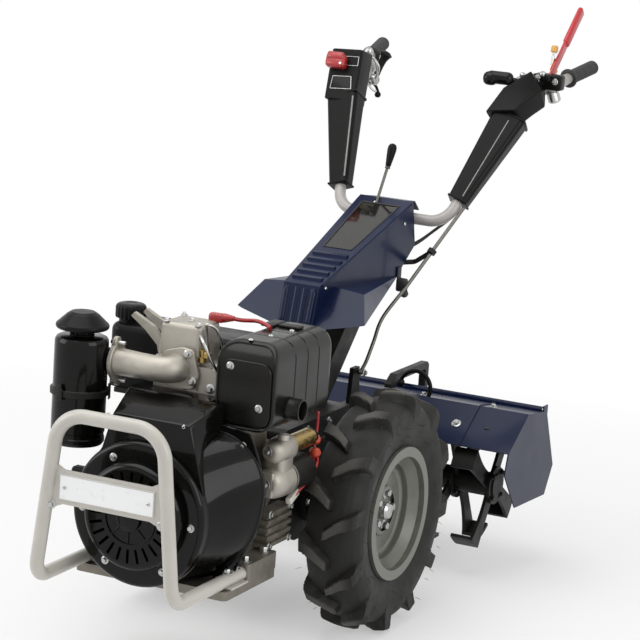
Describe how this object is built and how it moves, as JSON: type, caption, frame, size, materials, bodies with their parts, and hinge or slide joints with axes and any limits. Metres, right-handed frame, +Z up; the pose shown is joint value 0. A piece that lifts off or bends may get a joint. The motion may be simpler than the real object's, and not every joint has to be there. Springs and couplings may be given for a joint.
{
  "type": "two-wheel hand tractor with rotary tiller",
  "caption": "Walking tractor: a diesel engine ahead of two lugged wheels, swept handlebars over a hood and a hooded rotary tiller behind.",
  "frame": {"origin": "on the floor, under the middle of the overall box", "axes": "-Y is forwards (the engine's end), +X is the machine's left, +Z is up"},
  "size_m": [0.716, 1.74, 1.2823],
  "materials": {
    "navy_paint": "gloss enamel",
    "black_gloss": "gloss enamel",
    "black_alloy": "black enamel on cast alloy",
    "black_satin": "satin heat-proof paint",
    "tine_steel": "satin black on forged steel",
    "grey_paint": "semi-gloss enamel",
    "rim_silver": "silver-grey enamel",
    "cast_alloy": "as-cast, sand-blasted",
    "cast_iron": "black painted casting",
    "hub_steel": "machined",
    "zinc_gold": "yellow zinc plating",
    "tyre_rubber": "moulded tread",
    "grip_rubber": "ribbed",
    "black_plastic": "fine grain",
    "red_plastic": "gloss",
    "red_paint": "gloss",
    "white_plate": "gloss, blank",
    "smoked_window": "smoked"
  },
  "bodies": {
    "chassis": {"gearbox": "cast_iron", "axle_tubes": "cast_iron", "clutch_housing": "cast_alloy", "engine_base": "cast_alloy", "crankcase": "cast_alloy", "fan_shroud": "black_gloss", "recoil_cover": "black_gloss", "cylinder_cowl": "black_alloy", "cylinder_head": "cast_alloy", "rocker_cover": "cast_alloy", "lifting_eyes": "cast_alloy", "air_cleaner": "black_gloss", "pre_cleaner": "black_plastic", "intake_pipe": "cast_alloy", "exhaust_port": "cast_iron", "muffler": "black_satin", "tank_bracket": "black_satin", "fuel_tank": "black_plastic", "fuel_cap": "black_plastic", "starter_motor": "black_satin", "starter_housing": "cast_alloy", "starter_solenoid": "zinc_gold", "oil_pump": "cast_alloy", "front_guard": "grey_paint", "guard_plate": "grey_paint", "sign_plate": "white_plate", "hood": "navy_paint", "hood_window": "smoked_window", "hood_wings": "navy_paint", "handlebar_column": "black_satin", "gear_lever": "hub_steel", "tiller_case": "black_satin", "tiller_hood": "navy_paint", "tiller_shields": "navy_paint", "hinge_pin": "hub_steel", "depth_skid": "black_satin", "link_rod": "hub_steel", "rod_brackets": "black_satin", "battery_cable": "red_plastic", "hitch_handle": "black_plastic", "recoil_handle": "black_plastic"},
    "wheel_left": {"tyre_left": "tyre_rubber", "rim_left": "rim_silver", "hub_left": "hub_steel"},
    "wheel_right": {"tyre_right": "tyre_rubber", "rim_right": "rim_silver", "hub_right": "hub_steel"},
    "rotor": {"rotor_shaft": "black_satin", "rotor_left": "tine_steel", "rotor_right": "tine_steel"},
    "handlebar": {"handlebar_tube": "grey_paint", "handle_covers": "black_plastic", "handle_heads": "black_plastic", "grips": "grip_rubber", "engine_switch": "red_plastic", "locking_lever": "red_paint", "hand_levers": "black_plastic", "control_cables": "grip_rubber"},
    "rear_flap": {"rear_flap": "navy_paint"}
  },
  "joints": [
    {"name": "wheel_left_spin", "type": "hinge", "parent": "chassis", "child": "wheel_left", "pos_m": [0.226, -0.106, 0.258], "axis": [1, 0, 0], "continuous": true},
    {"name": "wheel_right_spin", "type": "hinge", "parent": "chassis", "child": "wheel_right", "pos_m": [-0.226, -0.106, 0.258], "axis": [1, 0, 0], "continuous": true},
    {"name": "rotor_spin", "type": "hinge", "parent": "chassis", "child": "rotor", "pos_m": [0, 0.439, 0.203], "axis": [1, 0, 0], "continuous": true},
    {"name": "handlebar_tilt", "type": "hinge", "parent": "chassis", "child": "handlebar", "pos_m": [0, 0.372, 0.803], "axis": [1, 0, 0], "range_deg": [-12, 12], "deforming": ["control_cables"]},
    {"name": "rear_flap_lift", "type": "hinge", "parent": "chassis", "child": "rear_flap", "pos_m": [0, 0.517, 0.378], "axis": [1, 0, 0], "range_deg": [0, 60]}
  ]
}
